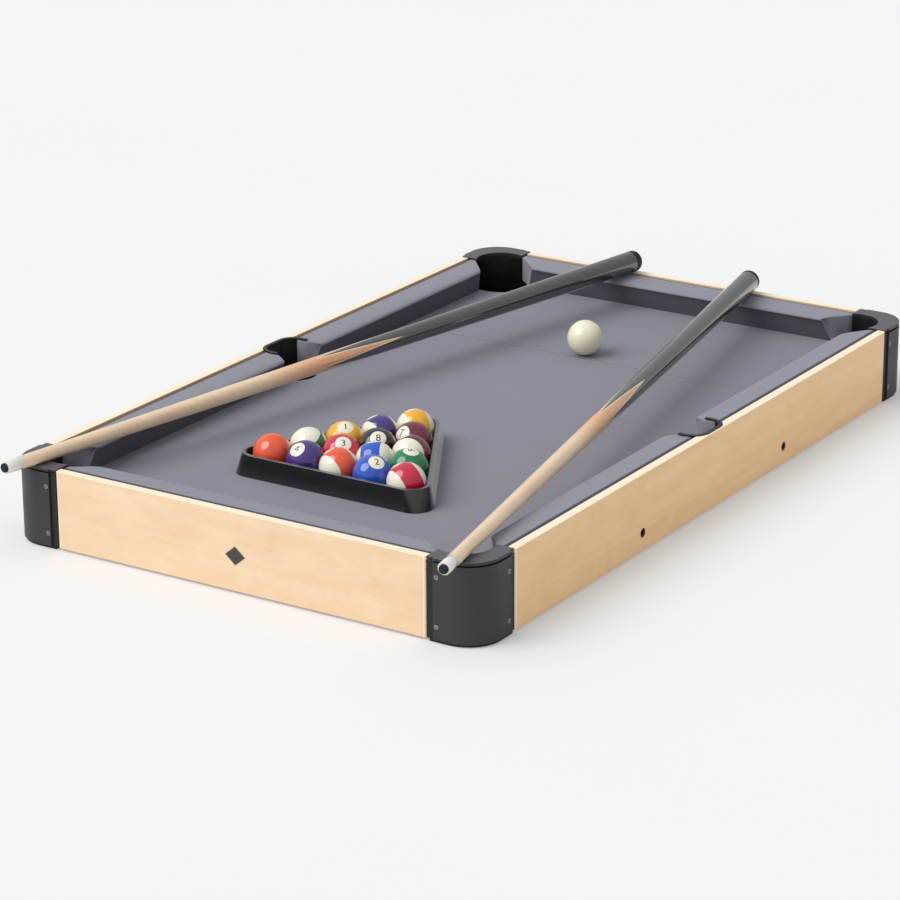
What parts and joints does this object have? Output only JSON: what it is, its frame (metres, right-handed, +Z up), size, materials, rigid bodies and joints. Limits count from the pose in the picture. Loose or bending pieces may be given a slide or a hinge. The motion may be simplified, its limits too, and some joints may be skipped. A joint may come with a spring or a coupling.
{
  "type": "pool table",
  "caption": "Low tabletop pool table with maple panels, dark corner guards and grey cloth, with two cues, a triangle rack and balls.",
  "frame": {"origin": "on the floor under the middle of the table, at the underside of its feet", "axes": "+X along the table away from the badge end, +Y across it, +Z up"},
  "size_m": [0.8966, 0.53, 0.1032],
  "materials": {
    "maple_panel": "clear satin lacquer",
    "guard_plastic": "fine moulded texture, satin",
    "cap_plastic": "fine moulded texture, satin",
    "pocket_plastic": "satin",
    "fibreboard": "raw board",
    "grey_cloth": "short felted nap",
    "softwood": "planed",
    "black_steel": "black oxide",
    "zinc_steel": "zinc plated",
    "foot_rubber": "matte",
    "badge_inlay": "polished",
    "tip_leather": "pressed, chalked",
    "ferrule_white": "polished",
    "cue_maple": "satin lacquer",
    "butt_lacquer": "high gloss black lacquer with orange points",
    "bumper_rubber": "matte",
    "rack_plastic": "glossy",
    "ball_ivory": "polished",
    "ball_yellow": "polished",
    "ball_blue": "polished",
    "ball_red": "polished",
    "ball_purple": "polished",
    "ball_orange": "polished",
    "ball_green": "polished",
    "ball_maroon": "polished",
    "ball_black": "polished"
  },
  "bodies": {
    "table": {"side_panel_near": "maple_panel", "side_panel_far": "maple_panel", "end_panel_badge": "maple_panel", "end_panel_plain": "maple_panel", "corner_guard_1": "guard_plastic", "corner_guard_2": "guard_plastic", "corner_guard_3": "guard_plastic", "corner_guard_4": "guard_plastic", "corner_cap_1": "cap_plastic", "corner_cap_2": "cap_plastic", "corner_cap_3": "cap_plastic", "corner_cap_4": "cap_plastic", "corner_pocket_1": "pocket_plastic", "corner_pocket_2": "pocket_plastic", "corner_pocket_3": "pocket_plastic", "corner_pocket_4": "pocket_plastic", "side_pocket_near": "pocket_plastic", "side_pocket_far": "pocket_plastic", "bed_board": "fibreboard", "bed_cloth": "grey_cloth", "cushion_near_left": "grey_cloth", "cushion_near_right": "grey_cloth", "cushion_far_left": "grey_cloth", "cushion_far_right": "grey_cloth", "cushion_end_left": "grey_cloth", "cushion_end_right": "grey_cloth", "cross_beams": "softwood", "bed_ledges": "softwood", "rail_cores": "softwood", "panel_bolts": "black_steel", "guard_screws": "zinc_steel", "corner_feet": "foot_rubber", "end_badge": "badge_inlay"},
    "cue_1": {"cue_1_tip": "tip_leather", "cue_1_ferrule": "ferrule_white", "cue_1_shaft": "cue_maple", "cue_1_butt": "butt_lacquer", "cue_1_bumper": "bumper_rubber"},
    "cue_2": {"cue_2_tip": "tip_leather", "cue_2_ferrule": "ferrule_white", "cue_2_shaft": "cue_maple", "cue_2_butt": "butt_lacquer", "cue_2_bumper": "bumper_rubber"},
    "rack": {"triangle_rack": "rack_plastic"},
    "cue_ball": {"cue_ball": "ball_ivory"},
    "ball_1": {"ball_1": "ball_yellow"},
    "ball_2": {"ball_2": "ball_blue"},
    "ball_3": {"ball_3": "ball_red"},
    "ball_4": {"ball_4": "ball_purple"},
    "ball_5": {"ball_5": "ball_orange"},
    "ball_6": {"ball_6": "ball_green"},
    "ball_7": {"ball_7": "ball_maroon"},
    "ball_8": {"ball_8": "ball_black"},
    "ball_9": {"ball_9": "ball_yellow"},
    "ball_10": {"ball_10": "ball_blue"},
    "ball_11": {"ball_11": "ball_red"},
    "ball_12": {"ball_12": "ball_purple"},
    "ball_13": {"ball_13": "ball_orange"},
    "ball_14": {"ball_14": "ball_green"},
    "ball_15": {"ball_15": "ball_maroon"}
  },
  "joints": [
    {"name": "cue_1_lift", "type": "slide", "parent": "table", "child": "cue_1", "axis": [0, 0, 1], "range_m": [0, 0.15]},
    {"name": "cue_2_lift", "type": "slide", "parent": "table", "child": "cue_2", "axis": [0, 0, 1], "range_m": [0, 0.15]},
    {"name": "rack_lift", "type": "slide", "parent": "table", "child": "rack", "axis": [0, 0, 1], "range_m": [0, 0.06]},
    {"name": "cue_ball_roll", "type": "slide", "parent": "table", "child": "cue_ball", "axis": [1, 0, 0], "range_m": [-0.2, 0.15]},
    {"name": "ball_1_lift", "type": "slide", "parent": "table", "child": "ball_1", "axis": [0, 0, 1], "range_m": [0, 0.06]},
    {"name": "ball_2_lift", "type": "slide", "parent": "table", "child": "ball_2", "axis": [0, 0, 1], "range_m": [0, 0.06]},
    {"name": "ball_3_lift", "type": "slide", "parent": "table", "child": "ball_3", "axis": [0, 0, 1], "range_m": [0, 0.06]},
    {"name": "ball_4_lift", "type": "slide", "parent": "table", "child": "ball_4", "axis": [0, 0, 1], "range_m": [0, 0.06]},
    {"name": "ball_5_lift", "type": "slide", "parent": "table", "child": "ball_5", "axis": [0, 0, 1], "range_m": [0, 0.06]},
    {"name": "ball_6_lift", "type": "slide", "parent": "table", "child": "ball_6", "axis": [0, 0, 1], "range_m": [0, 0.06]},
    {"name": "ball_7_lift", "type": "slide", "parent": "table", "child": "ball_7", "axis": [0, 0, 1], "range_m": [0, 0.06]},
    {"name": "ball_8_lift", "type": "slide", "parent": "table", "child": "ball_8", "axis": [0, 0, 1], "range_m": [0, 0.06]},
    {"name": "ball_9_lift", "type": "slide", "parent": "table", "child": "ball_9", "axis": [0, 0, 1], "range_m": [0, 0.06]},
    {"name": "ball_10_lift", "type": "slide", "parent": "table", "child": "ball_10", "axis": [0, 0, 1], "range_m": [0, 0.06]},
    {"name": "ball_11_lift", "type": "slide", "parent": "table", "child": "ball_11", "axis": [0, 0, 1], "range_m": [0, 0.06]},
    {"name": "ball_12_lift", "type": "slide", "parent": "table", "child": "ball_12", "axis": [0, 0, 1], "range_m": [0, 0.06]},
    {"name": "ball_13_lift", "type": "slide", "parent": "table", "child": "ball_13", "axis": [0, 0, 1], "range_m": [0, 0.06]},
    {"name": "ball_14_lift", "type": "slide", "parent": "table", "child": "ball_14", "axis": [0, 0, 1], "range_m": [0, 0.06]},
    {"name": "ball_15_lift", "type": "slide", "parent": "table", "child": "ball_15", "axis": [0, 0, 1], "range_m": [0, 0.06]}
  ]
}
